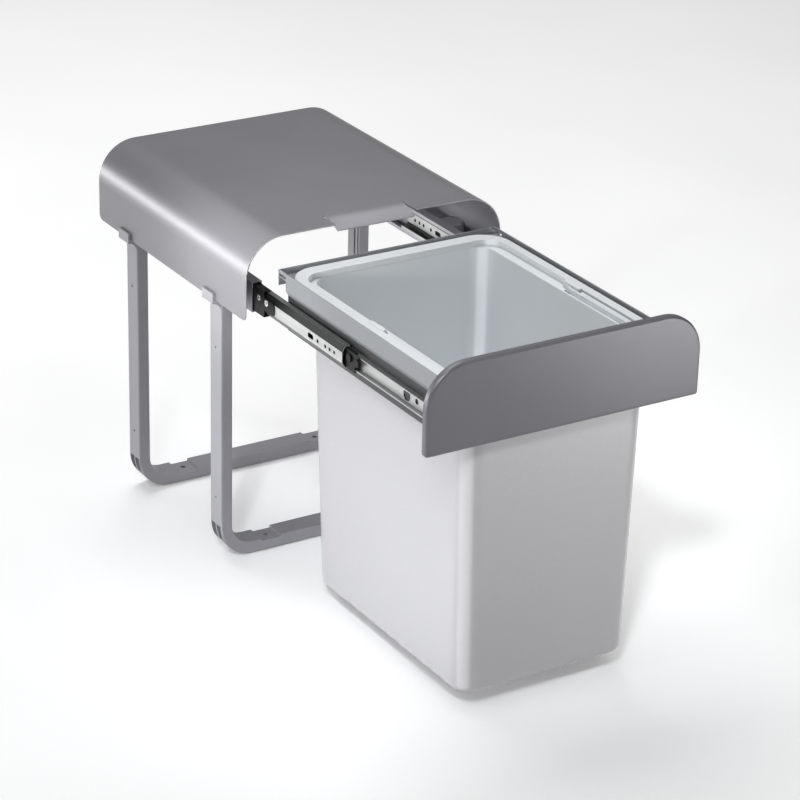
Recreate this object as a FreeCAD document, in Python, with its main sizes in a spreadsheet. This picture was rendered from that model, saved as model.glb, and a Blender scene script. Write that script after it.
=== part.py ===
import FreeCAD, Part
import math
import os
import Sketcher

# A slim pull-out waste bin unit for a 300 mm kitchen cabinet, modelled fully pulled out.
# Millimetres. X runs to the right, Y to the back, Z up. The origin lies on the cabinet
# floor, in the middle of the four floor screws.

doc = FreeCAD.newDocument("pull_out_bin")
sheet = doc.addObject("Spreadsheet::Sheet", "Dims")

DIMENSIONS = {
    # sheet steel hood over the slides
    "hood_width": 252.0,
    "hood_depth": 276.0,
    "hood_top": 320.5,
    "hood_flange": 72.0,
    "hood_bend": 36.0,
    "hood_sheet": 1.2,
    "hood_lead": 63.3,
    "flange_corner": 6.0,
    "tongue_width": 76.0,
    "tongue_reach": 23.0,
    "tongue_drop": 6.0,
    "tongue_slit": 1.6,
    # two moulded U-shaped frames that stand on the cabinet floor
    "frame_spacing": 159.0,
    "spacer_thickness": 4.2,
    "leg_width": 10.5,
    "leg_depth": 21.0,
    "leg_edge": 1.5,
    "bar_height": 12.0,
    "bend_outer": 32.0,
    "bend_inner": 20.0,
    "screw_hole_radius": 2.3,
    "recess_floor": 9.6,
    "recess_gap": 30.1,
    "recess_width": 19.0,
    "slot_width": 7.6,
    "slot_rib": 1.6,
    "slot_depth": 4.0,
    "slot_sweep": 28.0,
    "groove_depth": 1.5,
    "groove_low": 42.0,
    "groove_top_gap": 8.5,
    "groove_wide": 2.8,
    "groove_slim": 2.0,
    "locating_hole_radius": 1.2,
    "locating_hole_depth": 3.0,
    "locating_hole_high": 201.0,
    "locating_hole_low": 58.0,
    "clip_thickness": 2.4,
    "clip_gap": 0.2,
    "clip_width": 19.0,
    "clip_height": 9.3,
    "spacer_width": 14.0,
    "spacer_low": 3.0,
    # ball bearing slides, measured inwards from the legs and from the slide's centre
    "slide_drop": 59.2,
    "travel": 284.0,
    "fixed_inset": 18.0,
    "fixed_length": 252.0,
    "fixed_half": 13.5,
    "fixed_depth": 9.6,
    "fixed_lip": 2.1,
    "fixed_sheet": 1.0,
    "middle_front": 128.0,
    "middle_length": 250.0,
    "middle_start": 2.4,
    "middle_web_half": 4.8,
    "middle_shoulder": 5.2,
    "middle_half": 10.1,
    "middle_depth": 10.0,
    "middle_lip": 1.8,
    "middle_sheet": 0.9,
    "inner_front": 4.3,
    "inner_length": 263.0,
    "inner_start": 6.6,
    "inner_half": 7.05,
    "inner_sheet": 1.0,
    "slide_depth": 11.6,
    "web_hole_radius": 1.6,
    "web_slot_radius": 2.2,
    "web_slot_length": 5.0,
    "access_hole_radius": 5.2,
    "access_hole_place": 70.0,
    "pilot_hole_radius": 2.4,
    "pilot_hole_place": 55.0,
    # ball cages
    "outer_ball_radius": 1.1,
    "outer_ball_depth": 6.5,
    "inner_ball_radius": 0.95,
    "inner_ball_depth": 7.9,
    "ball_clearance": 0.1,
    "cage_sheet": 0.6,
    "outer_cage_front": 0.5,
    "outer_cage_start": 1.4,
    "outer_cage_half": 11.6,
    "outer_cage_depth": 8.4,
    "inner_cage_front": 143.0,
    "inner_cage_start": 5.7,
    "inner_cage_half": 8.4,
    "inner_cage_depth": 8.8,
    "cage_length": 100.0,
    "ball_pitch": 12.0,
    "first_ball": 40.0,
    "eyelet_radius": 2.6,
    "eyelet_barrel": 1.9,
    "eyelet_bore": 1.2,
    "eyelet_head": 0.3,
    "eyelet_rear_place": 9.0,
    "eyelet_rear_rise": 3.4,
    "eyelet_front_lead": 4.2,
    "eyelet_front_rise": 2.6,
    "outer_tongue_length": 17.0,
    "outer_tongue_high": 6.4,
    "outer_tongue_low": 5.2,
    "outer_tongue_round": 3.0,
    "inner_tongue_length": 8.0,
    "inner_tongue_high": 8.0,
    "inner_tongue_low": 2.0,
    "inner_tongue_round": 3.9,
    "tongue_overlap": 3.0,
    "stop_pad_radius": 3.5,
    "stop_pad_thickness": 1.6,
    "stop_pad_place": 8.0,
    "stop_pad_pitch": 12.4,
    "stop_pad_rise": 2.0,
    # sliding carriage that carries the bucket
    "ledge_reach": 7.9,
    "carriage_length": 268.9,
    "carriage_rise": 38.5,
    "carriage_sheet": 1.2,
    "front_wall_drop": 11.3,
    "skirt_drop": 15.0,
    "hem_drop": 19.3,
    "hem_inset": 2.6,
    "rear_skirt_drop": 13.8,
    "corner_notch": 12.4,
    "edge_strip": 3.0,
    "ledge_drop": 5.3,
    "opening_front": 5.1,
    "opening_rear": 8.5,
    "opening_round": 20.5,
    "bracket_sheet": 1.5,
    "bracket_drop": 16.3,
    "bracket_flange": 6.0,
    "bracket_gap": 0.5,
    "bracket_rear": 3.0,
    # front panel
    "panel_side_lap": 2.3,
    "panel_low_lap": 5.3,
    "panel_top_gap": 3.1,
    "panel_depth": 6.0,
    "panel_sheet": 1.2,
    "panel_round": 36.0,
    "panel_low_round": 2.8,
    "panel_edge": 2.6,
    "stop_gap": 0.5,
    "stud_radius": 2.0,
    "stud_length": 6.0,
    "stud_spacing": 150.0,
    "stud_low": 9.0,
    "stud_high": 35.0,
    "nut_width": 7.0,
    "nut_height": 3.2,
    # screws of the slides
    "screw_radius": 1.6,
    "countersink_radius": 2.6,
    "head_radius": 2.8,
    "head_height": 1.2,
    "mount_screw_length": 8.0,
    "slide_screw_length": 3.0,
    "slide_screw_front": 40.0,
    "slide_screw_middle": 172.0,
    "slide_screw_end": 18.0,
    "fastener_clearance": 0.05,
    # bucket
    "rim_side_gap": 1.9,
    "rim_length": 260.0,
    "rim_front_gap": 6.4,
    "rim_round": 27.0,
    "rim_height": 3.0,
    "rim_edge": 1.0,
    "band_width": 8.3,
    "band_front": 2.4,
    "band_rear": 13.7,
    "step_wall": 1.6,
    "step_depth": 5.5,
    "step_floor": 2.2,
    "bucket_floor_gap": 4.0,
    "bucket_top_inset": 7.0,
    "bucket_taper": 6.0,
    "bucket_top_front": 1.9,
    "bucket_base_front": 2.9,
    "bucket_top_rear": 11.5,
    "bucket_base_rear": 22.1,
    "bucket_round": 18.0,
    "bucket_wall": 2.2,
    "bucket_foot_round": 9.0,
    # bail handle
    "bail_width": 5.4,
    "bail_height": 3.6,
    "bail_gap": 1.0,
    "bail_round": 17.5,
    "bail_seat_gap": 0.2,
    "bail_jog": 14.0,
    "pivot_radius": 1.4,
    "pivot_clearance": 0.1,
    "pivot_length": 3.4,
    "eye_radius": 2.6,
    "eye_width": 2.6,
    "eye_relief": 4.0,
    "boss_length": 22.0,
    "boss_height": 6.0,
    "boss_width": 3.5,
}


class Size:
    """A length that knows both its value and its formula in the sheet."""

    def __init__(self, value, formula):
        self.value = float(value)
        self.formula = formula

    def join(self, other, sign, value):
        return Size(value, "(%s %s %s)" % (self.formula, sign, size(other).formula))

    def __add__(self, other):
        return self.join(other, "+", self.value + size(other).value)

    def __sub__(self, other):
        return self.join(other, "-", self.value - size(other).value)

    def __mul__(self, other):
        return self.join(other, "*", self.value * size(other).value)

    def __truediv__(self, other):
        return self.join(other, "/", self.value / size(other).value)

    def __radd__(self, other):
        return size(other) + self

    def __rsub__(self, other):
        return size(other) - self

    def __rmul__(self, other):
        return self * other

    def __neg__(self):
        return self * -1


def size(number):
    """Any number as a Size."""
    return number if isinstance(number, Size) else Size(number, "%.6f" % number)


class Sizes:
    """The cells of the sheet, each by its own name."""


d = Sizes()
for row, (alias, value) in enumerate(DIMENSIONS.items(), start=1):
    sheet.set("A%d" % row, alias)
    sheet.set("B%d" % row, str(value))
    sheet.setAlias("B%d" % row, alias)
    setattr(d, alias, Size(value, "Dims." + alias))
doc.recompute()

# Places that several pieces share.
hood_front = -d.frame_spacing / 2 - d.hood_lead
hood_rear = hood_front + d.hood_depth
hood_low = d.hood_top - d.hood_flange
flange_inside = d.hood_width / 2 - d.hood_sheet
leg_outside = flange_inside - d.spacer_thickness
leg_inside = leg_outside - d.leg_width
recess_outside = leg_inside - d.recess_gap
floor_screw = recess_outside - d.recess_width / 2
slide_level = d.hood_top - d.slide_drop
leg_top = slide_level + d.fixed_half
bracket_face = leg_inside - d.slide_depth
panel_face = hood_front - d.stop_gap - d.panel_depth - d.travel
panel_inside = panel_face + d.panel_sheet
inner_slide_front = panel_inside + d.inner_front
slide_screw_rear = d.inner_length - d.slide_screw_end
carriage_rear = panel_inside + d.carriage_length
carriage_half = bracket_face + d.ledge_reach
carriage_top = slide_level + d.carriage_rise
ledge_level = carriage_top - d.ledge_drop
front_wall_low = slide_level - d.front_wall_drop
rim_front = panel_inside + d.rim_front_gap
rim_rear = rim_front + d.rim_length
rim_half = carriage_half - d.carriage_sheet - d.rim_side_gap
rim_top = ledge_level + d.rim_height
pocket_half = rim_half - d.band_width
pocket_front = rim_front + d.band_front
pocket_rear = rim_rear - d.band_rear
step_level = rim_top - d.step_depth
pivot_y = (pocket_front + pocket_rear) / 2
pivot_z = step_level + d.bail_seat_gap + d.bail_height / 2
bail_half = pocket_half - d.bail_gap
bail_inside = bail_half - d.bail_width
bucket_base = d.bar_height + d.bucket_floor_gap
FRAME_PLACES = {"front": -d.frame_spacing / 2, "rear": d.frame_spacing / 2}
SIDES = {"left": -1, "right": 1}

nodes = []


def bind(target, prop, length):
    """Ties one property to the sheet."""
    target.setExpression(prop, size(length).formula)


def node(target):
    """Marks a finished piece, which gets a file under its own name."""
    target.Label = target.Name
    nodes.append(target)


def put(target, x, y, z, rotation=None):
    """Places an object at a point that follows the sheet."""
    point = [size(x), size(y), size(z)]
    base = FreeCAD.Vector(*[p.value for p in point])
    target.Placement = FreeCAD.Placement(base, rotation or FreeCAD.Rotation())
    for axis, place in zip("xyz", point):
        bind(target, "Placement.Base." + axis, place)
    return target


def box(name, x, y, z):
    """A block between two planes on each axis, given in either order."""
    block = doc.addObject("Part::Box", name)
    spans = []
    for low, high in (x, y, z):
        low, high = size(low), size(high)
        spans.append((low, high) if low.value <= high.value else (high, low))
    for prop, (low, high) in zip(("Length", "Width", "Height"), spans):
        bind(block, prop, high - low)
    return put(block, *[low for low, high in spans])


ALONG = {
    "x": FreeCAD.Rotation(FreeCAD.Vector(0, 1, 0), 90),
    "y": FreeCAD.Rotation(FreeCAD.Vector(1, 0, 0), -90),
    "z": FreeCAD.Rotation(),
    "-x": FreeCAD.Rotation(FreeCAD.Vector(0, 1, 0), -90),
}


def outward(side):
    """The direction away from the middle on one side."""
    return ALONG["x"] if side > 0 else ALONG["-x"]


def rod(name, radius, length, start, turn):
    """A round bar from a start point, along the direction of a turn."""
    bar = doc.addObject("Part::Cylinder", name)
    bind(bar, "Radius", radius)
    bind(bar, "Height", length)
    return put(bar, *start, turn)


def cone(name, radii, length, start, turn):
    """A cone from a start point, along the direction of a turn."""
    taper = doc.addObject("Part::Cone", name)
    for prop, value in zip(("Radius1", "Radius2", "Height"), (*radii, length)):
        bind(taper, prop, value)
    return put(taper, *start, turn)


def ball(name, radius, centre):
    """A full ball."""
    sphere = doc.addObject("Part::Sphere", name)
    bind(sphere, "Radius", radius)
    return put(sphere, *centre)


def fuse(name, pieces):
    """Several solids made one."""
    joined = doc.addObject("Part::MultiFuse", name)
    joined.Shapes = pieces
    joined.Refine = True
    return joined


def cut(name, base, tools):
    """A solid with several others taken out of it."""
    result = doc.addObject("Part::Cut", name)
    result.Base = base
    result.Tool = tools[0] if len(tools) == 1 else fuse(name + "_tools", tools)
    result.Refine = True
    return result


def group(name, pieces):
    """Separate solids of one kind that share a node."""
    kit = doc.addObject("Part::Compound", name)
    kit.Links = pieces
    node(kit)


def new_body(name):
    return doc.addObject("PartDesign::Body", name)


def new_sketch(body, name, plane, offset):
    """A sketch on one of the body's own origin planes, moved along the plane's normal."""
    sketch = body.newObject("Sketcher::SketchObject", name)
    origin_plane = [f for f in body.Origin.OriginFeatures if f.Role == plane + "_Plane"][0]
    sketch.AttachmentSupport = (origin_plane, [""])
    sketch.MapMode = "FlatFace"
    offset = size(offset)
    sketch.AttachmentOffset = FreeCAD.Placement(
        FreeCAD.Vector(0, 0, offset.value), FreeCAD.Rotation())
    bind(sketch, "AttachmentOffset.Base.z", offset)
    return sketch


def pin(sketch, geometry, end, x=None, y=None):
    """Holds one end of a line at a distance from the sketch's origin."""
    for kind, place in (("DistanceX", x), ("DistanceY", y)):
        if place is None:
            continue
        place = size(place)
        rule = Sketcher.Constraint(kind, -1, 1, geometry, end, place.value)
        bind(sketch, "Constraints[%d]" % sketch.addConstraint(rule), place)


def polygon(sketch, corners):
    """A closed outline of straight lines, with each corner tied to the sheet."""
    points = [FreeCAD.Vector(size(x).value, size(y).value, 0) for x, y in corners]
    count = len(points)
    for i in range(count):
        sketch.addGeometry(Part.LineSegment(points[i], points[(i + 1) % count]), False)
    for i, (x, y) in enumerate(corners):
        sketch.addConstraint(Sketcher.Constraint("Coincident", i, 2, (i + 1) % count, 1))
        pin(sketch, i, 1, x, y)


def rounded_rectangle(sketch, x, y, radius):
    """A rectangle between two planes each way, with four equal round corners."""
    (x0, x1), (y0, y1) = [[size(v) for v in span] for span in (x, y)]
    r = size(radius).value
    left, right, low, high = x0.value, x1.value, y0.value, y1.value
    turns = [
        ((left + r, low), (right - r, low), (right - r, low + r), -90),
        ((right, low + r), (right, high - r), (right - r, high - r), 0),
        ((right - r, high), (left + r, high), (left + r, high - r), 90),
        ((left, high - r), (left, low + r), (left + r, low + r), 180),
    ]
    for start, end, centre, angle in turns:
        line = Part.LineSegment(FreeCAD.Vector(*start, 0), FreeCAD.Vector(*end, 0))
        circle = Part.Circle(FreeCAD.Vector(*centre, 0), FreeCAD.Vector(0, 0, 1), r)
        first = math.radians(angle)
        sketch.addGeometry(line, False)
        sketch.addGeometry(Part.ArcOfCircle(circle, first, first + math.pi / 2), False)
    for i in range(4):
        level = "Horizontal" if i % 2 == 0 else "Vertical"
        sketch.addConstraint(Sketcher.Constraint("Tangent", 2 * i, 2, 2 * i + 1, 1))
        sketch.addConstraint(Sketcher.Constraint("Tangent", 2 * i + 1, 2, (2 * i + 2) % 8, 1))
        sketch.addConstraint(Sketcher.Constraint(level, 2 * i))
    for i in (3, 5, 7):
        sketch.addConstraint(Sketcher.Constraint("Equal", 1, i))
    rule = Sketcher.Constraint("Radius", 1, r)
    bind(sketch, "Constraints[%d]" % sketch.addConstraint(rule), radius)
    pin(sketch, 0, 1, y=y0)
    pin(sketch, 2, 1, x=x1)
    pin(sketch, 4, 1, y=y1)
    pin(sketch, 6, 1, x=x0)


def pad(body, sketch, length):
    """Extrudes a sketch along its normal."""
    feature = body.newObject("PartDesign::Pad", sketch.Name + "_pad")
    feature.Profile = sketch
    feature.Length = size(length).value
    bind(feature, "Length", length)
    doc.recompute()
    return feature


def fillet(body, radius, wanted):
    """Rounds those edges of the body whose middle and direction the test accepts."""
    tip = body.Tip
    names = []
    for i, edge in enumerate(tip.Shape.Edges, start=1):
        first, last = edge.ParameterRange
        middle = (first + last) / 2
        if wanted(edge.valueAt(middle), edge.tangentAt(middle)):
            names.append("Edge%d" % i)
    feature = body.newObject("PartDesign::Fillet", tip.Name + "_fillet")
    feature.Base = (tip, names)
    feature.Radius = size(radius).value
    bind(feature, "Radius", radius)
    doc.recompute()
    return feature


def near(a, b):
    """True where two lengths are the same."""
    return abs(size(a).value - size(b).value) < 0.01


def along(direction, axis):
    """True where a direction runs along an axis."""
    return abs(abs(direction[axis]) - 1) < 1e-6


def profile_body(name, corners, front, rear):
    """A bar of constant section, drawn in the XZ plane and running from front to rear."""
    body = new_body(name)
    sketch = new_sketch(body, name + "_section", "XZ", -size(rear))
    polygon(sketch, corners)
    pad(body, sketch, size(rear) - front)
    return body


def rounded_prism(name, x, y, z, radius):
    """An upright block with four round corners."""
    body = new_body(name)
    sketch = new_sketch(body, name + "_outline", "XY", z[0])
    rounded_rectangle(sketch, x, y, radius)
    pad(body, sketch, size(z[1]) - z[0])
    return body


def tongue():
    """The front of the hood's top, rolled down between two slits."""
    reach, drop = d.tongue_reach, d.tongue_drop
    roll = (reach * reach + drop * drop) / (2 * drop)
    turn = FreeCAD.Rotation(
        FreeCAD.Vector(0, 0, 1), FreeCAD.Vector(0, -1, 0), FreeCAD.Vector(1, 0, 0), "ZXY")
    layers = []
    for name, radius in (("tongue_skin", roll), ("tongue_core", roll - d.hood_sheet)):
        layer = rod(name, radius, d.tongue_width,
                    (-d.tongue_width / 2, hood_front + reach, d.hood_top - roll), turn)
        layer.setExpression("Angle", "asin(%s / %s)" % (reach.formula, roll.formula))
        layers.append(layer)
    return cut("tongue", layers[0], layers[1:])


def hood_cover():
    """One sheet folded over the slides, open at the front, back and bottom."""
    half, top, inside = d.hood_width / 2, d.hood_top, d.hood_top - d.hood_sheet
    body = profile_body("hood_fold", [
        (-half, hood_low), (-half, top), (half, top), (half, hood_low),
        (flange_inside, hood_low), (flange_inside, inside),
        (-flange_inside, inside), (-flange_inside, hood_low)], hood_front, hood_rear)
    fillet(body, d.hood_bend, lambda p, t: along(t, 1) and near(p.z, top))
    fillet(body, d.hood_bend - d.hood_sheet, lambda p, t: along(t, 1) and near(p.z, inside))
    fillet(body, d.flange_corner, lambda p, t: along(t, 0) and near(p.z, hood_low))
    clear = d.tongue_width / 2 + d.tongue_slit
    gap = box("tongue_gap", (-clear, clear), (hood_front - 1, hood_front + d.tongue_reach),
              (inside - 1, top + 1))
    node(fuse("hood_cover", [cut("hood_slit", body, [gap]), tongue()]))


def bend_slots(name, side, y):
    """Two pockets on the outside of a frame's bend, with a rib between them."""
    centre = side * (leg_outside - d.bend_outer)
    first = 0 if side > 0 else 180 - d.slot_sweep.value
    turn = ALONG["y"].multiply(FreeCAD.Rotation(FreeCAD.Vector(0, 0, 1), first))
    slots = []
    for half, start in (("front", y - d.slot_rib / 2 - d.slot_width), ("rear", y + d.slot_rib / 2)):
        rings = []
        for layer, radius in (("outer", d.bend_outer + 1), ("inner", d.bend_outer - d.slot_depth)):
            ring = rod("%s_%s_%s" % (name, half, layer), radius, d.slot_width,
                       (centre, start, d.bend_outer), turn)
            ring.Angle = d.slot_sweep.value
            bind(ring, "Angle", d.slot_sweep)
            rings.append(ring)
        slots.append(cut("%s_%s" % (name, half), rings[0], rings[1:]))
    return slots


def frame_clip(name, side, y):
    """The hook at a leg's top that grips the hood's flange, and the spacer behind it."""
    leg = side * leg_outside
    hook_in = side * (d.hood_width / 2 + d.clip_gap)
    hook_out = hook_in + side * d.clip_thickness
    reach = side * (hook_out - leg)
    shelf = hood_low - d.clip_gap - d.clip_thickness
    wide = (y - d.clip_width / 2, y + d.clip_width / 2)
    slim = (y - d.spacer_width / 2, y + d.spacer_width / 2)
    shoulder = box(name + "_gusset", (leg, hook_out), wide, (shelf - reach, shelf))
    hollow = rod(name + "_hollow", reach, d.clip_width + 2,
                 (hook_out, y - d.clip_width / 2 - 1, shelf - reach), ALONG["y"])
    return [
        cut(name + "_shoulder", shoulder, [hollow]),
        box(name + "_shelf", (leg, hook_out), wide, (shelf, shelf + d.clip_thickness)),
        box(name + "_hook", (hook_in, hook_out), wide, (shelf, shelf + d.clip_height)),
        box(name + "_spacer", (leg, side * flange_inside), slim,
            (hood_low + d.spacer_low, leg_top)),
    ]


def frame_cuts(name, side, y):
    """What is taken out of one half of a U-frame."""
    inside = side * leg_inside
    past = d.leg_depth / 2 + 1
    cuts = [
        box(name + "_recess", (side * recess_outside, side * (recess_outside - d.recess_width)),
            (y - past, y + past), (d.recess_floor, d.bar_height + 1)),
        rod(name + "_floor_hole", d.screw_hole_radius, d.bar_height + 2,
            (side * floor_screw, y, -1), ALONG["z"]),
        rod(name + "_mount_hole", d.screw_radius + d.fastener_clearance, d.mount_screw_length + 1,
            (inside - side, y, slide_level), outward(side)),
    ]
    for level in (d.locating_hole_high, d.locating_hole_low):
        cuts.append(rod("%s_hole_%d" % (name, len(cuts)), d.locating_hole_radius,
                        d.locating_hole_depth + 1, (side * (leg_outside + 1), y, level),
                        outward(-side)))
    for place, width in ((y - d.slot_rib, d.groove_wide), (y - d.slot_width, d.groove_slim)):
        cuts.append(box("%s_groove_%d" % (name, len(cuts)),
                        (inside - side, inside + side * d.groove_depth),
                        (place - width / 2, place + width / 2),
                        (d.groove_low, hood_low - d.groove_top_gap)))
    return cuts + bend_slots(name + "_slot", side, y)


def u_frame(end, y):
    """A moulded U: two legs and a floor bar in one piece, with a hook on each leg."""
    half = leg_outside
    body = profile_body(end + "_u", [
        (-half, leg_top), (-half, 0), (half, 0), (half, leg_top),
        (leg_inside, leg_top), (leg_inside, d.bar_height),
        (-leg_inside, d.bar_height), (-leg_inside, leg_top)],
        y - d.leg_depth / 2, y + d.leg_depth / 2)
    fillet(body, d.bend_outer, lambda p, t: along(t, 1) and near(p.z, 0))
    fillet(body, d.bend_inner, lambda p, t: along(t, 1) and near(p.z, d.bar_height))
    fillet(body, d.leg_edge, lambda p, t: along(t, 2) and near(abs(p.x), half))
    hooks, cuts = [], []
    for word, side in SIDES.items():
        hooks += frame_clip("%s_%s_clip" % (end, word), side, y)
        cuts += frame_cuts("%s_%s" % (end, word), side, y)
    node(cut(end + "_u_frame", fuse(end + "_u_hooks", [body] + hooks), cuts))


def rail(name, side, upper_half, front, length):
    """A rolled rail: depths from the leg and heights from the slide's centre, mirrored down."""
    outline = upper_half + [(depth, -size(rise)) for depth, rise in reversed(upper_half)]
    corners = [(side * (leg_inside - depth), slide_level + rise) for depth, rise in outline]
    return profile_body(name, corners, front, front + length)


def web_hole(name, side, y, radius=None):
    """A tool for a round hole right through a rail's web."""
    return rod(name, radius or d.web_hole_radius, d.slide_depth + 2,
               (side * (bracket_face - 1), y, slide_level), outward(side))


def mount_screw(name, side, y, clearance):
    """A countersunk screw through the fixed rail into a leg, or the hole that takes it."""
    web = side * (leg_inside - d.fixed_sheet)
    head = cone(name + "_head", (d.countersink_radius + clearance, d.screw_radius + clearance),
                d.fixed_sheet, (web, y, slide_level), outward(side))
    shank = rod(name + "_shank", d.screw_radius + clearance, d.mount_screw_length,
                (web, y, slide_level), outward(side))
    return fuse(name, [head, shank])


def slide_fixed(word, side):
    """The outer rail, screwed to the legs and open towards the bucket."""
    half, depth, wall = d.fixed_half, d.fixed_depth, d.fixed_sheet
    lip = half - wall - d.fixed_lip
    body = rail("fixed_rail_" + word, side, [
        (0, half), (depth, half), (depth, lip), (depth - wall, lip),
        (depth - wall, half - wall), (wall, half - wall)],
        hood_front + d.fixed_inset, d.fixed_length)
    holes = [mount_screw("fixed_%s_hole_%s" % (word, end), side, y, d.fastener_clearance)
             for end, y in FRAME_PLACES.items()]
    node(cut("slide_fixed_" + word, body, holes))


def slide_middle(word, side):
    """The rail between the other two, with a dished web and rows of holes at both ends."""
    half, depth, wall = d.middle_half, d.middle_depth, d.middle_sheet
    start, shoulder, flat = d.middle_start, d.middle_shoulder, d.middle_web_half
    lip = half - wall - d.middle_lip
    front = hood_front - d.middle_front
    body = rail("middle_rail_" + word, side, [
        (start, flat), (shoulder, half), (depth, half), (depth, lip), (depth - wall, lip),
        (depth - wall, half - wall), (shoulder + wall / 2, half - wall), (start + wall, flat)],
        front, d.middle_length)
    holes = []
    for place in MIDDLE_HOLES:
        for y in (front + place, front + d.middle_length - place):
            holes.append(web_hole("middle_%s_hole_%d" % (word, len(holes)), side, y))
    for y in (front + MIDDLE_SLOT, front + d.middle_length - MIDDLE_SLOT):
        near_end = y - d.web_slot_length / 2
        far_end = y + d.web_slot_length / 2
        radius = d.web_slot_radius
        name = "middle_%s_slot_%d" % (word, len(holes))
        span = box(name, (side * (bracket_face - 1), side * leg_inside), (near_end, far_end),
                   (slide_level - radius, slide_level + radius))
        ends = [web_hole("%s_%s" % (name, end), side, place, radius)
                for end, place in (("near", near_end), ("far", far_end))]
        holes.append(fuse(name + "_tool", [span] + ends))
    node(cut("slide_middle_" + word, body, holes))


def slide_inner(word, side):
    """The inner rail, screwed to the carriage's bracket and open towards the leg."""
    half, wall = d.inner_half, d.inner_sheet
    body = rail("inner_rail_" + word, side, [
        (d.slide_depth, half), (d.inner_start, half), (d.inner_start, half - wall),
        (d.slide_depth - wall, half - wall)], inner_slide_front, d.inner_length)
    holes = [web_hole("inner_%s_access" % word, side, inner_slide_front + d.access_hole_place,
                      d.access_hole_radius),
             web_hole("inner_%s_pilot" % word, side, inner_slide_front + d.pilot_hole_place,
                      d.pilot_hole_radius)]
    holes += slide_screw_holes("inner_" + word, side)
    node(cut("slide_inner_" + word, body, holes))


def slide_screw_holes(name, side):
    """Tools for the holes of the three screws between the inner rail and its bracket."""
    radius = d.screw_radius + d.fastener_clearance
    holes = []
    for place in (d.slide_screw_front, d.slide_screw_middle, slide_screw_rear):
        start = side * (bracket_face - d.bracket_sheet - 1)
        holes.append(rod("%s_screw_hole_%d" % (name, len(holes)), radius, d.bracket_sheet + 3,
                         (start, inner_slide_front + place, slide_level), outward(side)))
    return holes


def ball_cage(kind, word, side, front, start, half, depth, ball_radius, ball_depth, ball_rise):
    """A thin channel with a row of balls along each flange; gives the cage before its node."""
    wall = d.cage_sheet
    body = rail("%s_cage_strip_%s" % (kind, word), side, [
        (start, half), (depth, half), (depth, half - wall), (start + wall, half - wall)],
        front, d.cage_length)
    balls, holes = [], []
    for i in range(BALLS_IN_ROW):
        for rise in (ball_rise, -ball_rise):
            centre = (side * (leg_inside - ball_depth), front + d.first_ball + i * d.ball_pitch,
                      slide_level + rise)
            name = "%s_%s_ball_%d" % (kind, word, len(balls))
            balls.append(ball(name, ball_radius, centre))
            holes.append(ball(name + "_hole", ball_radius + d.ball_clearance, centre))
    group("%s_balls_%s" % (kind, word), balls)
    return body, holes


def cage_tongue(name, side, depth, front, length, low, high, radius):
    """A flat tongue with round corners that continues a cage's web to the front."""
    near_leg, inner = side * (leg_inside - depth), side * (leg_inside - depth - d.cage_sheet)
    body = new_body(name)
    sketch = new_sketch(body, name + "_outline", "YZ", near_leg if side < 0 else inner)
    rounded_rectangle(sketch, (front - length, front + d.tongue_overlap),
                      (slide_level - low, slide_level + high), radius)
    pad(body, sketch, d.cage_sheet)
    return body


def eyelet(name, side, y, z):
    """A riveted ring whose head lies on the cage's outside."""
    plate = side * (leg_inside - d.outer_cage_start)
    place = (plate - side * d.cage_sheet, y, z)
    length = d.cage_sheet + d.eyelet_head
    barrel = rod(name + "_barrel", d.eyelet_barrel, length, place, outward(side))
    head = rod(name + "_head", d.eyelet_radius, d.eyelet_head, (plate, y, z), outward(side))
    bore = rod(name + "_bore", d.eyelet_bore, length, place, outward(side))
    return cut(name, fuse(name + "_blank", [barrel, head]), [bore])


def outer_cage(word, side):
    """The retainer between the fixed and the middle rail, with a tongue and two eyelets."""
    front = hood_front - d.outer_cage_front
    rise = (d.fixed_half - d.fixed_sheet + d.middle_half) / 2
    body, holes = ball_cage("outer", word, side, front, d.outer_cage_start, d.outer_cage_half,
                            d.outer_cage_depth, d.outer_ball_radius, d.outer_ball_depth, rise)
    tongue_plate = cage_tongue("outer_tongue_" + word, side, d.outer_cage_start, front,
                               d.outer_tongue_length, d.outer_tongue_low, d.outer_tongue_high,
                               d.outer_tongue_round)
    inner_side = side * (leg_inside - d.outer_cage_start - d.cage_sheet)
    eyelets = []
    for end, y, z in (("rear", front + d.eyelet_rear_place, slide_level + d.eyelet_rear_rise),
                      ("front", front - d.eyelet_front_lead, slide_level + d.eyelet_front_rise)):
        name = "eyelet_%s_%s" % (end, word)
        eyelets.append(eyelet(name, side, y, z))
        holes.append(rod(name + "_seat", d.eyelet_barrel + d.fastener_clearance,
                         2 * d.cage_sheet, (inner_side - side * d.ball_clearance, y, z),
                         outward(side)))
    node(cut("outer_cage_" + word, fuse("outer_plate_" + word, [body, tongue_plate]), holes))
    group("eyelet_" + word, eyelets)


def inner_cage(word, side):
    """The retainer between the middle and the inner rail, with two stop pads at its front."""
    front = hood_front - d.inner_cage_front
    rise = (d.middle_half - d.middle_sheet + d.inner_half) / 2
    body, holes = ball_cage("inner", word, side, front, d.inner_cage_start, d.inner_cage_half,
                            d.inner_cage_depth, d.inner_ball_radius, d.inner_ball_depth, rise)
    pieces = [body, cage_tongue("inner_tongue_" + word, side, d.inner_cage_start, front,
                                d.inner_tongue_length, d.inner_tongue_low,
                                d.inner_tongue_high, d.inner_tongue_round)]
    for place in (d.stop_pad_place, d.stop_pad_place - d.stop_pad_pitch):
        pieces.append(rod("stop_pad_%s_%d" % (word, len(pieces)), d.stop_pad_radius,
                          d.stop_pad_thickness, (side * (leg_inside - d.inner_cage_start),
                                                 front + place, slide_level + d.stop_pad_rise),
                          outward(side)))
    node(cut("inner_cage_" + word, fuse("inner_plate_" + word, pieces), holes))


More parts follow.
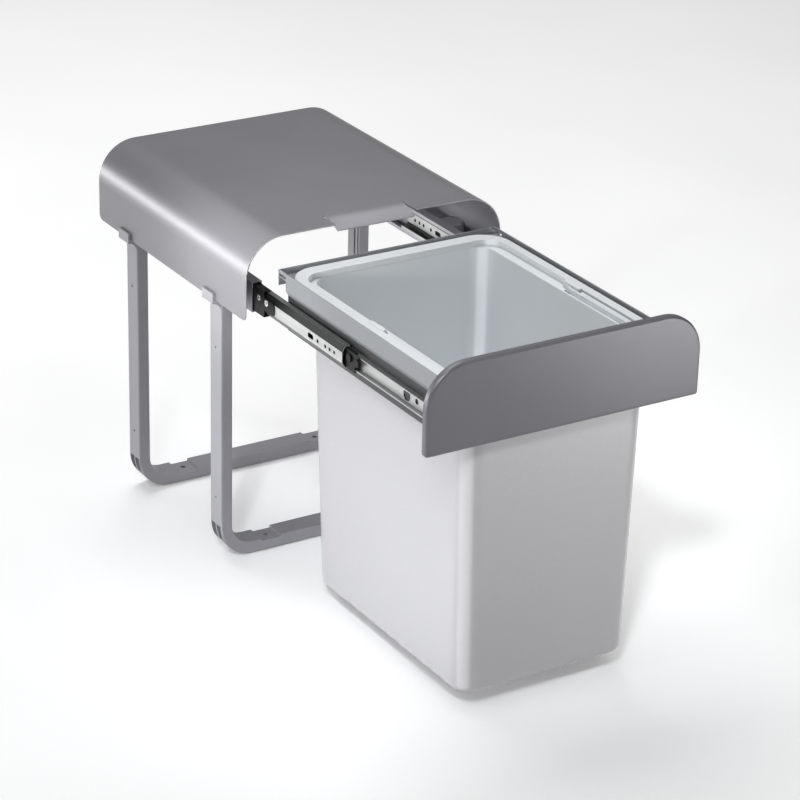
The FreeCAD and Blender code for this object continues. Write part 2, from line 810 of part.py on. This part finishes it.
def slide_bracket(word, side):
    """The angle that hangs under the carriage's ledge and carries the inner rail."""
    top = ledge_level - d.carriage_sheet
    face, back = side * bracket_face, side * (bracket_face - d.bracket_sheet)
    run = (panel_face + d.panel_depth + d.bracket_gap, carriage_rear - d.bracket_rear)
    web = box("bracket_web_" + word, (back, face), run,
              (slide_level - d.bracket_drop, top))
    flange = box("bracket_flange_" + word, (back, face + side * d.bracket_flange), run,
                 (top - d.bracket_sheet, top))
    angle = fuse("bracket_angle_" + word, [web, flange])
    node(cut("slide_bracket_" + word, angle, slide_screw_holes("bracket_" + word, side)))


def carriage_frame():
    """A folded sheet frame: a ledge for the bucket's rim inside four upstanding walls."""
    half, top, wall = carriage_half, carriage_top, d.carriage_sheet
    rear, front = carriage_rear, panel_inside
    under = ledge_level - wall
    ledge = box("ledge", (-half, half), (front, rear - wall), (under, ledge_level))
    opening = rounded_prism(
        "ledge_opening", (d.bracket_sheet - bracket_face, bracket_face - d.bracket_sheet),
        (front + d.opening_front, rear - d.opening_rear), (under - 1, ledge_level + 1),
        d.opening_round)
    pieces = [
        cut("ledge_plate", ledge, [opening]),
        box("front_wall", (-half, half), (front, front + wall), (front_wall_low, top)),
        box("rear_skirt", (-half, half), (rear - wall, rear), (top - d.rear_skirt_drop, top)),
    ]
    hem, low = top - d.skirt_drop, top - d.hem_drop
    for word, side in SIDES.items():
        outer, inner = side * half, side * (half - wall)
        pieces += [
            profile_body("skirt_" + word, [
                (outer, top), (outer, hem), (outer - side * d.hem_inset, low),
                (inner - side * d.hem_inset, low), (inner, hem), (inner, top)],
                front, rear - d.corner_notch),
            box("strip_" + word, (inner, outer), (front, rear), (top - d.edge_strip, top)),
        ]
    holes = [rod("stud_hole_%d" % i, d.stud_radius + 2 * d.fastener_clearance, 4 * wall,
                 (x, front - wall, z), ALONG["y"]) for i, (x, z) in enumerate(stud_places())]
    node(cut("carriage_frame", fuse("carriage_fold", pieces), holes))


def stud_places():
    """Where the four studs of the front panel stand."""
    return [(side * d.stud_spacing / 2, z) for side in SIDES.values()
            for z in (front_wall_low + d.stud_low, front_wall_low + d.stud_high)]


def panel_block(name, inset, front, rear):
    """The front panel's outline as a solid, drawn in by an inset."""
    half = d.hood_width / 2 + d.panel_side_lap - inset
    low, top = hood_low - d.panel_low_lap + inset, d.hood_top - d.panel_top_gap - inset
    body = profile_body(name, [(-half, low), (half, low), (half, top), (-half, top)], front, rear)
    fillet(body, d.panel_round - inset, lambda p, t: along(t, 1) and near(p.z, top))
    fillet(body, d.panel_low_round - inset, lambda p, t: along(t, 1) and near(p.z, low))
    return body


def front_panel():
    """A shallow pressed tray with four welded studs on its back."""
    body = panel_block("panel_skin", 0, panel_face, panel_face + d.panel_depth)
    fillet(body, d.panel_edge, lambda p, t: near(p.y, panel_face))
    hollow = panel_block("panel_hollow", d.panel_sheet, panel_inside,
                         panel_face + d.panel_depth + 1)
    fillet(hollow, d.panel_edge - d.panel_sheet, lambda p, t: near(p.y, panel_inside))
    studs = [rod("stud_%d" % i, d.stud_radius, d.stud_length, (x, panel_inside, z), ALONG["y"])
             for i, (x, z) in enumerate(stud_places())]
    node(fuse("front_panel", [cut("panel_tray", body, [hollow])] + studs))


def panel_nuts():
    """Hexagon nuts that hold the panel's studs to the carriage."""
    nuts = []
    for i, (x, z) in enumerate(stud_places()):
        hexagon = doc.addObject("Part::Prism", "nut_blank_%d" % i)
        hexagon.Polygon = 6
        bind(hexagon, "Circumradius", d.nut_width / math.sqrt(3))
        bind(hexagon, "Height", d.nut_height)
        place = (x, panel_inside + d.carriage_sheet, z)
        put(hexagon, *place, rotation=ALONG["y"])
        bore = rod("nut_bore_%d" % i, d.stud_radius + d.fastener_clearance, d.nut_height, place,
                   ALONG["y"])
        nuts.append(cut("nut_%d" % i, hexagon, [bore]))
    group("panel_nuts", nuts)


def slide_mount_screws():
    """Four flush screws that hold the fixed rails to the legs."""
    group("slide_mount_screws", [
        mount_screw("mount_screw_%s_%s" % (end, word), side, y, 0)
        for word, side in SIDES.items() for end, y in FRAME_PLACES.items()])


def inner_slide_screws():
    """Six screws that hold the inner rails to the brackets."""
    screws = []
    for word, side in SIDES.items():
        web = side * (bracket_face + d.inner_sheet)
        for place in (d.slide_screw_front, d.slide_screw_middle, slide_screw_rear):
            name = "slide_screw_%d" % len(screws)
            at = (web, inner_slide_front + place, slide_level)
            head = rod(name + "_head", d.head_radius, d.head_height, at, outward(side))
            shank = rod(name + "_shank", d.screw_radius, d.slide_screw_length, at, outward(-side))
            screws.append(fuse(name, [head, shank]))
    group("inner_slide_screws", screws)


def tapered_tub(name, inset, base, top):
    """The bucket's tapered body as a solid, drawn in by an inset."""
    body = new_body(name)
    wedge = body.newObject("PartDesign::AdditiveWedge", name + "_wedge")
    wedge.Placement = FreeCAD.Placement(
        FreeCAD.Vector(), FreeCAD.Rotation(FreeCAD.Vector(1, 0, 0), 90))
    bind(wedge, "Ymin", base)
    bind(wedge, "Ymax", top)
    top_half = pocket_half - d.bucket_top_inset
    for end, half, front, rear in (
            ("", top_half - d.bucket_taper, d.bucket_base_front, d.bucket_base_rear),
            ("2", top_half, d.bucket_top_front, d.bucket_top_rear)):
        bind(wedge, "X%smin" % end, inset - half)
        bind(wedge, "X%smax" % end, half - inset)
        bind(wedge, "Z%smin" % end, -(rim_rear - rear - inset))
        bind(wedge, "Z%smax" % end, -(rim_front + front + inset))
    doc.recompute()
    fillet(body, d.bucket_round - inset, lambda p, t: abs(t.z) > 0.9)
    fillet(body, d.bucket_foot_round - inset, lambda p, t: near(p.z, base))
    return body


def bucket():
    """A tapered tub with a flat rim, a step inside the rim and two pivot bosses."""
    block = d.step_wall
    rim = rounded_prism("rim", (-rim_half, rim_half), (rim_front, rim_rear),
                        (ledge_level, rim_top), d.rim_round)
    fillet(rim, d.rim_edge, lambda p, t: near(p.z, rim_top))
    step_round = d.rim_round - d.band_width
    step = rounded_prism("step", (-pocket_half - block, pocket_half + block),
                         (pocket_front - block, pocket_rear + block),
                         (step_level - d.step_floor, ledge_level), step_round + block)
    pocket = rounded_prism("step_pocket", (-pocket_half, pocket_half), (pocket_front, pocket_rear),
                           (step_level, rim_top + 1), step_round)
    tub = tapered_tub("tub", size(0), bucket_base, step_level)
    hollow = tapered_tub("tub_hollow", d.bucket_wall, bucket_base + d.bucket_wall, rim_top)
    shell = cut("bucket_shell", fuse("bucket_blank", [rim, step, tub]), [pocket, hollow])
    bosses, holes = [], []
    for word, side in SIDES.items():
        wall = side * pocket_half
        bosses.append(box("boss_" + word, (wall - side * d.boss_width, wall + side * block / 2),
                          (pivot_y - d.boss_length / 2, pivot_y + d.boss_length / 2),
                          (step_level - d.step_floor / 2, step_level + d.boss_height)))
        holes.append(rod("boss_hole_" + word, d.pivot_radius + d.pivot_clearance,
                         d.boss_width + 1, (side * (pocket_half - d.boss_width - 1), pivot_y,
                                            pivot_z), outward(side)))
        holes.append(box("eye_relief_" + word,
                         (side * (bail_inside - 1), side * (pocket_half - d.boss_width)),
                         (pivot_y - d.eye_relief, pivot_y + d.eye_relief),
                         (pivot_z - d.eye_radius - d.bail_seat_gap, rim_top)))
    node(cut("bucket", fuse("bucket_bossed", [shell] + bosses), holes))


def bail_handle():
    """A flat strip bent to a U that swings on two pins in the bucket's bosses."""
    low, high = pivot_z - d.bail_height / 2, pivot_z + d.bail_height / 2
    front, rear = pocket_front + d.bail_gap, pivot_y + d.bail_round
    outer = rounded_prism("bail_outer", (-bail_half, bail_half), (front, rear), (low, high),
                          d.bail_round)
    inner = rounded_prism("bail_inner", (-bail_inside, bail_inside),
                          (front + d.bail_width, rear - d.bail_width), (low - 1, high + 1),
                          d.bail_round - d.bail_width)
    end = box("bail_end", (-bail_half - 1, bail_half + 1), (pivot_y - d.bail_jog, rear + 1),
              (low - 1, high + 1))
    pieces = [cut("bail_strip", outer, [inner, end])]
    for word, side in SIDES.items():
        eye = (side * bail_inside, pivot_y, pivot_z)
        outside = side * (bail_inside + d.eye_width)
        pieces += [
            box("bail_arm_" + word, (side * bail_inside, outside),
                (pivot_y - d.bail_jog - 1, pivot_y), (low, high)),
            rod("bail_eye_" + word, d.eye_radius, d.eye_width, eye, outward(side)),
            rod("bail_pin_" + word, d.pivot_radius, d.eye_width + d.pivot_length, eye,
                outward(side)),
        ]
    node(fuse("bail_handle", pieces))


# Places of the holes along the middle rail, from either end, and of its one long hole.
MIDDLE_HOLES = (12.4, 19.8, 26.8, 39.2)
MIDDLE_SLOT = 51.0
BALLS_IN_ROW = 5

hood_cover()
for end, y in FRAME_PLACES.items():
    u_frame(end, y)
for word, side in SIDES.items():
    slide_fixed(word, side)
    slide_middle(word, side)
    slide_inner(word, side)
    outer_cage(word, side)
    inner_cage(word, side)
    slide_bracket(word, side)
slide_mount_screws()
inner_slide_screws()
carriage_frame()
front_panel()
panel_nuts()
bucket()
bail_handle()
doc.recompute()

for item in doc.Objects:
    if "Invalid" in item.State or "Error" in item.State:
        raise RuntimeError(item.Name + " did not compute")
os.makedirs("parts", exist_ok=True)
for piece in nodes:
    if piece.Shape.isNull() or not piece.Shape.isValid():
        raise RuntimeError(piece.Label + " has no sound shape")
    piece.Shape.exportStep("parts/%s.step" % piece.Label)
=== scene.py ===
import math

import bpy
from mathutils import Matrix, Vector


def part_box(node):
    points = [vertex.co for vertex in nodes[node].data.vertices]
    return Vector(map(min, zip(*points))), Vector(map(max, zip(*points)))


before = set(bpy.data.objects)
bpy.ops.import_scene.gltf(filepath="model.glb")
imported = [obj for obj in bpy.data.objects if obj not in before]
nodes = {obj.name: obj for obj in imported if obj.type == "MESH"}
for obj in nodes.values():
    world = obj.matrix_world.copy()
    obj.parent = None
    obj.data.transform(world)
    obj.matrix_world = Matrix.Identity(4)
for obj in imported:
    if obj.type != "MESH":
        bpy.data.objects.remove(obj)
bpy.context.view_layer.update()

UP, DOWN, FORWARD = (0, 0, 1), (0, 0, -1), (0, -1, 0)
WHITE = (1, 1, 1)

# Sizes of the surface textures, as noise features in a metre.
CLOUD = 11.0
DRIFT = 9.0
STREAK = 260.0
PEEL = 420.0
GRAIN = 1500.0
FLECK = 2600.0
SILVER_FLECK = 3000.0
PAPER = 3.0

# Depths of the same textures and the reach of the painted shade in a crevice, in metres.
PEEL_DEPTH = 0.0002
GRAIN_DEPTH = 0.0001
STREAK_DEPTH = 0.0001
CREVICE_SHADE_REACH = 0.004
RAIL_CREVICE_SHADE_REACH = 0.003


# ---------------------------------------------------------------- shader nodes

def socket(shader, name, value):
    shader.inputs[name].default_value = value


def feed(tree, node, inputs):
    """Sets a node's inputs in order: each is another node's output, a number or a vector."""
    for slot, value in zip(node.inputs, inputs):
        if isinstance(value, bpy.types.NodeSocket):
            tree.links.new(value, slot)
        else:
            slot.default_value = value


def scalar(tree, operation, *inputs):
    """A sum with numbers."""
    node = tree.nodes.new("ShaderNodeMath")
    node.operation = operation
    feed(tree, node, inputs)
    return node.outputs["Value"]


def vector(tree, operation, *inputs):
    """A sum with vectors."""
    node = tree.nodes.new("ShaderNodeVectorMath")
    node.operation = operation
    feed(tree, node, inputs)
    return node.outputs["Value" if operation == "DOT_PRODUCT" else "Vector"]


def coordinates(tree, kind):
    """The surface's own place ("Object") or direction ("Normal")."""
    return tree.nodes.new("ShaderNodeTexCoord").outputs[kind]


def parts_of(tree, source):
    """The X, Y and Z of a vector, as outputs."""
    node = tree.nodes.new("ShaderNodeSeparateXYZ")
    tree.links.new(source, node.inputs["Vector"])
    return node.outputs


def noise(tree, scale, detail=2.0, stretch=(1, 1, 1)):
    """Object-space noise, stretched along the axes."""
    mapping = tree.nodes.new("ShaderNodeMapping")
    mapping.inputs["Scale"].default_value = stretch
    texture = tree.nodes.new("ShaderNodeTexNoise")
    texture.inputs["Scale"].default_value = scale
    texture.inputs["Detail"].default_value = detail
    tree.links.new(coordinates(tree, "Object"), mapping.inputs["Vector"])
    tree.links.new(mapping.outputs["Vector"], texture.inputs["Vector"])
    return texture.outputs["Fac"]


def ramp(tree, source, tones, at=(0.35, 0.65)):
    """Colours a texture's value between two tones."""
    node = tree.nodes.new("ShaderNodeValToRGB")
    for element, place, tone in zip(node.color_ramp.elements, at, tones):
        element.position = place
        element.color = (*tone, 1)
    tree.links.new(source, node.inputs["Fac"])
    return node.outputs["Color"]


def span(tree, source, low, high, smooth=False):
    """0 to 1 as a value goes from low to high."""
    node = tree.nodes.new("ShaderNodeMapRange")
    node.interpolation_type = "SMOOTHSTEP" if smooth else "LINEAR"
    node.inputs["From Min"].default_value = low
    node.inputs["From Max"].default_value = high
    tree.links.new(source, node.inputs["Value"])
    return node.outputs["Result"]


def roughness_range(tree, shader, source, low, high):
    """Roughness between two values, by a texture."""
    node = tree.nodes.new("ShaderNodeMapRange")
    node.inputs["To Min"].default_value = low
    node.inputs["To Max"].default_value = high
    tree.links.new(source, node.inputs["Value"])
    tree.links.new(node.outputs["Result"], shader.inputs["Roughness"])


def bump(tree, shader, source, strength, distance):
    """Small relief, by a texture."""
    node = tree.nodes.new("ShaderNodeBump")
    node.inputs["Strength"].default_value = strength
    node.inputs["Distance"].default_value = distance
    tree.links.new(source, node.inputs["Height"])
    tree.links.new(node.outputs["Normal"], shader.inputs["Normal"])


def two_tone(tree, mask, inner, outer):
    """Mixes two colours by a mask."""
    mix = tree.nodes.new("ShaderNodeMix")
    mix.data_type = "RGBA"
    tree.links.new(mask, mix.inputs["Factor"])
    tree.links.new(inner, mix.inputs["A"])
    tree.links.new(outer, mix.inputs["B"])
    return mix.outputs["Result"]


def times(tree, colour, factor):
    """A colour multiplied by another colour, or by one number."""
    mix = tree.nodes.new("ShaderNodeMix")
    mix.data_type = "RGBA"
    mix.blend_type = "MULTIPLY"
    mix.inputs["Factor"].default_value = 1
    tree.links.new(colour, mix.inputs["A"])
    if isinstance(factor, bpy.types.NodeSocket):
        tree.links.new(factor, mix.inputs["B"])
    else:
        mix.inputs["B"].default_value = (factor,) * 3 + (1,)
    return mix.outputs["Result"]


def paint_crevice_shade(tree, colour, reach, depth):
    """Painted shade: darkens a colour in corners and gaps narrower than a reach."""
    shade = tree.nodes.new("ShaderNodeAmbientOcclusion")
    shade.inputs["Distance"].default_value = reach
    shade.samples = 8
    dark = ramp(tree, shade.outputs["AO"], ((1 - depth,) * 3, WHITE), at=(0.25, 0.85))
    return times(tree, colour, dark)


def tilt(tree, axis, low, high):
    """0 to 1 as the piece's own surface turns from one slope to another along an axis."""
    return span(tree, vector(tree, "DOT_PRODUCT", coordinates(tree, "Normal"), axis), low, high)


def facing_out(tree, centre, top):
    """1 where a surface below a level faces away from an upright axis or down, else 0."""
    place = coordinates(tree, "Object")
    arm = vector(tree, "SUBTRACT", place, (*centre, 0))
    level_arm = vector(tree, "MULTIPLY_ADD", arm, (1, 1, 0), (0, 0, -FLOOR_ARM))
    outward = vector(tree, "DOT_PRODUCT", level_arm, coordinates(tree, "Normal"))
    below = scalar(tree, "LESS_THAN", parts_of(tree, place)["Z"], top)
    return scalar(tree, "MULTIPLY", scalar(tree, "GREATER_THAN", outward, 0), below)


def corner_highlight_mask(tree):
    """Mask for a painted highlight: 1 in the middle of an upright rounded corner, fading to 0 at the
    flat walls beside it.
    """
    normal = parts_of(tree, coordinates(tree, "Normal"))
    product = scalar(tree, "ABSOLUTE", scalar(tree, "MULTIPLY", normal["X"], normal["Y"]))
    return span(tree, product, *CORNER_HIGHLIGHT_SPAN, smooth=True)


# ---------------------------------------------------------------- materials

def new_material(name, roughness, metallic=0.0, coat=0.0, coat_roughness=0.1, specular=0.5):
    """A principled material whose plain numbers sit on the shader itself."""
    mat = bpy.data.materials.new(name)
    mat.use_nodes = True
    shader = mat.node_tree.nodes["Principled BSDF"]
    socket(shader, "Metallic", metallic)
    socket(shader, "Roughness", roughness)
    socket(shader, "Coat Weight", coat)
    socket(shader, "Coat Roughness", coat_roughness)
    socket(shader, "Specular IOR Level", specular)
    return mat, mat.node_tree, shader


def shades(tone, darker, lighter):
    """A darker and a lighter shade of a tone."""
    return [c * darker for c in tone], [c * lighter for c in tone]


def powder_paint(name, tone, roughness=0.42, metallic=0.35, painted_light_gain=1.0, painted_light_axis=FORWARD, crevice_shade_depth=0.5):
    """Satin powder paint: sparkle, faint orange peel, painted shade in crevices, and painted light that
    makes faces turned along an axis paler.
    """
    mat, tree, shader = new_material(name, roughness, metallic, coat=0.15, coat_roughness=0.35)
    fleck = noise(tree, FLECK, 1.0)
    colour = ramp(tree, fleck, shades(tone, 0.96, 1.04))
    mottle = ramp(tree, noise(tree, CLOUD, 3.0), shades(WHITE, 0.93, 1))
    colour = times(tree, colour, mottle)
    # Painted light: faces turned along the axis get a paler tone.
    if painted_light_gain > 1:
        painted_light = ramp(tree, fleck, shades(tone, 0.96 * painted_light_gain, 1.04 * painted_light_gain))
        colour = two_tone(tree, tilt(tree, painted_light_axis, 0.04, 0.22), colour, painted_light)
    # Painted shade in crevices.
    tree.links.new(paint_crevice_shade(tree, colour, CREVICE_SHADE_REACH, crevice_shade_depth), shader.inputs["Base Color"])
    peel = noise(tree, PEEL)
    roughness_range(tree, shader, peel, roughness - 0.05, roughness + 0.05)
    bump(tree, shader, peel, 0.12, PEEL_DEPTH)
    return mat


def plastic(name, tone, roughness, coat=0.0, metallic=0.0, specular=0.5):
    """Injection-moulded plastic: slight tone drift and a fine eroded texture."""
    mat, tree, shader = new_material(name, roughness, metallic, coat, 0.2, specular)
    colour = ramp(tree, noise(tree, DRIFT), shades(tone, 0.98, 1.02))
    tree.links.new(colour, shader.inputs["Base Color"])
    grain = noise(tree, GRAIN)
    roughness_range(tree, shader, grain, roughness - 0.04, roughness + 0.05)
    bump(tree, shader, grain, 0.08, GRAIN_DEPTH)
    return mat


def zinc(name, tone, roughness=0.3, shaded_slopes=()):
    """Bright zinc-plated steel strip, rolled lengthwise; painted shade gives its slopes and flanges
    darker tones where given, and darkens its crevices.
    """
    mat, tree, shader = new_material(name, roughness, 0.55)
    streak = noise(tree, STREAK, 3.0, (1, 0.02, 1))
    colour = ramp(tree, streak, shades(tone, 0.9, 1.06))
    for axis, low_slope, high_slope, factor in shaded_slopes:
        # Painted shade: faces sloped along the axis get a darker tone.
        painted_dark = ramp(tree, streak, shades(tone, 0.9 * factor, 1.06 * factor))
        colour = two_tone(tree, tilt(tree, axis, low_slope, high_slope), colour, painted_dark)
    # Painted shade in crevices.
    tree.links.new(paint_crevice_shade(tree, colour, RAIL_CREVICE_SHADE_REACH, 0.6), shader.inputs["Base Color"])
    roughness_range(tree, shader, streak, roughness - 0.08, roughness + 0.1)
    bump(tree, shader, streak, 0.05, STREAK_DEPTH)
    return mat


def bucket_plastic(name, inside, outside, centre, top):
    """Light grey plastic, silver lacquer on its outside, with a fine moulded texture, a painted
    highlight in its upright rounded corners and painted shade in its crevices.
    """
    mat, tree, shader = new_material(name, 0.34, coat=0.25, coat_roughness=0.2)
    plain = ramp(tree, noise(tree, DRIFT), shades(inside, 0.98, 1.02))
    silver = ramp(tree, noise(tree, SILVER_FLECK, 1.0), shades(outside, 0.93, 1.07))
    mask = facing_out(tree, centre, top)
    colour = two_tone(tree, mask, plain, silver)
    # Painted highlight: the middle of each upright rounded corner is lighter.
    colour = two_tone(tree, corner_highlight_mask(tree), colour, times(tree, colour, CORNER_HIGHLIGHT_GAIN))
    # Painted shade in crevices.
    tree.links.new(paint_crevice_shade(tree, colour, CREVICE_SHADE_REACH, 0.6), shader.inputs["Base Color"])
    tree.links.new(scalar(tree, "MULTIPLY", mask, LACQUER_METALLIC), shader.inputs["Metallic"])
    grain = noise(tree, GRAIN)
    roughness_range(tree, shader, grain, 0.30, 0.39)
    bump(tree, shader, grain, 0.08, GRAIN_DEPTH)
    return mat


def violet(value, blue=1.083):
    """A grey with a faint violet cast."""
    return (value * 1.018, value, value * blue)


def cool(value):
    """A grey with a faint blue cast."""
    return (value * 0.965, value, value * 1.05)


bucket_low, bucket_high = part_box("bucket")
bucket_centre = ((bucket_low[0] + bucket_high[0]) / 2, (bucket_low[1] + bucket_high[1]) / 2)
RIM_THICKNESS = 0.0035
LACQUER_METALLIC = 0.35
# How strongly a downward face counts as the bucket's outside, and an upward one as its inside.
FLOOR_ARM = 0.02
# Painted highlight on a rounded upright corner's middle: its gain, and where that sets in, as the
# product of the two level parts of the surface's direction, which is 0.5 in the corner's middle.
CORNER_HIGHLIGHT_GAIN = 1.36
CORNER_HIGHLIGHT_SPAN = (0.33, 0.49)
# Painted shade where a rail turns up or down: axis, the slopes between which the darker tone sets in,
# and its factor.
RAIL_SLOPE_SHADE = ((UP, 0.1, 0.3, 0.03), (UP, 0.92, 0.98, 0.5), (DOWN, 0.1, 0.3, 0.22))
MATERIALS = {
    # Painted light: the hood's forward-facing faces are 1.5 times paler.
    "hood": powder_paint("hood_paint", violet(0.20), 0.38, metallic=0.25, painted_light_gain=1.5),
    "panel": powder_paint("panel_paint", violet(0.122, 1.12), 0.34, metallic=0.3),
    "carriage": powder_paint("carriage_paint", cool(0.228), 0.4, metallic=0.2, crevice_shade_depth=0.25),
    "frame": plastic("frame_plastic", violet(0.288), 0.40, coat=0.1, metallic=0.1),
    "fixed": powder_paint("fixed_rail_zinc", violet(0.40), 0.4, metallic=0.4),
    "rail": zinc("rail_zinc", (0.50, 0.51, 0.50), shaded_slopes=RAIL_SLOPE_SHADE),
    # The bracket's near-black tone is painted shade for the gap between carriage wall and rails;
    # painted light makes its downward faces 18 times lighter.
    "bracket": powder_paint("bracket_shade_paint", violet(0.04), painted_light_gain=18, painted_light_axis=DOWN),
    "cage": plastic("cage_plastic", violet(0.006), 0.30, specular=0.2),
    "ball": zinc("ball_steel", (0.85, 0.85, 0.86), 0.2),
    "screw": zinc("screw_zinc", (0.72, 0.72, 0.73), 0.3),
    "bucket": bucket_plastic("bucket_plastic", (0.625, 0.645, 0.658), violet(0.415, 1.03),
                             bucket_centre, bucket_high[2] - RIM_THICKNESS),
    "handle": plastic("handle_plastic", cool(0.60), 0.34, coat=0.25),
}
NODE_MATERIALS = {
    "hood_cover": "hood", "front_panel": "panel", "carriage_frame": "carriage",
    "front_u_frame": "frame", "rear_u_frame": "frame", "bucket": "bucket", "bail_handle": "handle",
    "slide_mount_screws": "screw", "inner_slide_screws": "screw", "panel_nuts": "screw",
}
for side in ("left", "right"):
    NODE_MATERIALS.update({
        "slide_fixed_" + side: "fixed", "slide_middle_" + side: "rail", "slide_inner_" + side: "rail",
        "outer_cage_" + side: "cage", "inner_cage_" + side: "cage", "outer_balls_" + side: "ball",
        "inner_balls_" + side: "ball", "eyelet_" + side: "ball", "slide_bracket_" + side: "bracket",
    })
for name, kind in NODE_MATERIALS.items():
    piece = nodes[name]
    piece.data.materials.clear()
    piece.data.materials.append(MATERIALS[kind])


# ---------------------------------------------------------------- rounded edges

EDGE_WIDTH = {"hood": 0.0004, "panel": 0.0004, "carriage": 0.0004, "bracket": 0.0006,
              "frame": 0.0007, "fixed": 0.0003, "rail": 0.0003, "cage": 0.0002, "screw": 0.0003,
              "bucket": 0.0009, "handle": 0.0008}
WELD_DISTANCE = 0.00001
FLAT_ANGLE = math.radians(0.5)
SHARP_ANGLE = math.radians(35)


def soften(piece, width):
    """Joins a CAD mesh's faces and rounds its sharp edges, so that they catch the light."""
    weld = piece.modifiers.new("weld", "WELD")
    weld.merge_threshold = WELD_DISTANCE
    flat = piece.modifiers.new("flat", "DECIMATE")
    flat.decimate_type = "DISSOLVE"
    flat.angle_limit = FLAT_ANGLE
    bevel = piece.modifiers.new("bevel", "BEVEL")
    bevel.width = width
    bevel.segments = 2
    bevel.limit_method = "ANGLE"
    bevel.angle_limit = SHARP_ANGLE
    bevel.use_clamp_overlap = True
    bevel.harden_normals = False
    smooth = piece.modifiers.new("normals", "WEIGHTED_NORMAL")
    smooth.keep_sharp = True


for name, kind in NODE_MATERIALS.items():
    if kind in EDGE_WIDTH:
        soften(nodes[name], EDGE_WIDTH[kind])


# ---------------------------------------------------------------- camera

PICTURE_PX = 800.0
FOCAL_PX = 3032.09
SENSOR_MM = 36.0
CAMERA_PLACE = (-1.2448, -2.1951, 1.2273)
AZIMUTH, ELEVATION, ROLL = map(math.radians, (-31.798, 24.145, 1.4457))

back = Vector((math.sin(AZIMUTH) * math.cos(ELEVATION), -math.cos(AZIMUTH) * math.cos(ELEVATION),
               math.sin(ELEVATION)))
level_right = (-back).cross(Vector(UP)).normalized()
level_up = level_right.cross(-back)
right = math.cos(ROLL) * level_right + math.sin(ROLL) * level_up
up = math.cos(ROLL) * level_up - math.sin(ROLL) * level_right
camera = bpy.data.objects.new("camera", bpy.data.cameras.new("camera"))
bpy.context.scene.collection.objects.link(camera)
camera.data.sensor_width = SENSOR_MM
camera.data.lens = SENSOR_MM * FOCAL_PX / PICTURE_PX
camera.matrix_world = Matrix.Translation(CAMERA_PLACE) @ Matrix((right, up, back)).transposed().to_4x4()
bpy.context.scene.camera = camera


# ---------------------------------------------------------------- light

MIDDLE = (0, -0.15, 0.2)
COOL = (0.97, 1.0, 1.03)
WORLD_STRENGTH = 0.28


def area_light(name, place, target, size, power, tone=WHITE, spread=180):
    """A soft box, or a narrow beam where the spread in degrees is small."""
    light = bpy.data.lights.new(name, "AREA")
    light.shape = "RECTANGLE"
    light.size, light.size_y = size
    light.energy = power
    light.color = tone
    light.spread = math.radians(spread)
    lamp = bpy.data.objects.new(name, light)
    lamp.location = place
    lamp.rotation_euler = (Vector(target) - Vector(place)).to_track_quat("-Z", "Y").to_euler()
    lamp.visible_camera = False
    bpy.context.scene.collection.objects.link(lamp)


area_light("left_high", (-1.9, -0.3, 2.2), MIDDLE, (1.0, 1.0), 12, COOL)
area_light("left_back", (-1.6, 2.0, 0.2), MIDDLE, (1.4, 0.35), 20)
area_light("top_back", (0.0, 0.9, 2.6), MIDDLE, (1.6, 1.2), 37)
area_light("bucket_beam", (-0.9, -1.3, 1.6), (0.03, -0.26, 0.12), (0.4, 0.4), 0.36, COOL, 14)
area_light("side_beam", (-1.9, 0.35, 0.12), (-0.09, -0.33, 0.13), (0.5, 0.2), 0.4, COOL, 14)
area_light("hood_beam", (-0.75, -0.4, 0.42), (0.13, 0.01, 0.265), (0.12, 0.06), 0.125, spread=20)
area_light("edge_glint", (1.25, -1.4, 2.2), (0.1, -0.43, 0.3), (0.35, 0.35), 3.0)
area_light("panel_glow", (0.55, -1.0, 0.06), (0.12, -0.43, 0.28), (0.3, 0.3), 0.26, spread=60)

world = bpy.data.worlds.new("studio")
world.use_nodes = True
background = world.node_tree.nodes["Background"]
socket(background, "Color", (*WHITE, 1))
socket(background, "Strength", WORLD_STRENGTH)
bpy.context.scene.world = world
bpy.context.scene.view_settings.view_transform = "Standard"


# ---------------------------------------------------------------- floor

FLOOR_REACH = 8
FLOOR_LEVEL = -0.0005
FLOOR_GLOW = 0.12

floor_mat, floor_tree, floor_shader = new_material("floor_paper", 0.9, specular=0.0)
paper = ramp(floor_tree, noise(floor_tree, PAPER), shades(WHITE, 0.97, 1))
floor_tree.links.new(paper, floor_shader.inputs["Base Color"])
socket(floor_shader, "Emission Color", (*WHITE, 1))
socket(floor_shader, "Emission Strength", FLOOR_GLOW)
corners = [(x * FLOOR_REACH, y * FLOOR_REACH, FLOOR_LEVEL)
           for x, y in ((-1, -1), (1, -1), (1, 1), (-1, 1))]
mesh = bpy.data.meshes.new("floor")
mesh.from_pydata(corners, [], [(0, 1, 2, 3)])
floor = bpy.data.objects.new("floor", mesh)
floor.data.materials.append(floor_mat)
bpy.context.scene.collection.objects.link(floor)
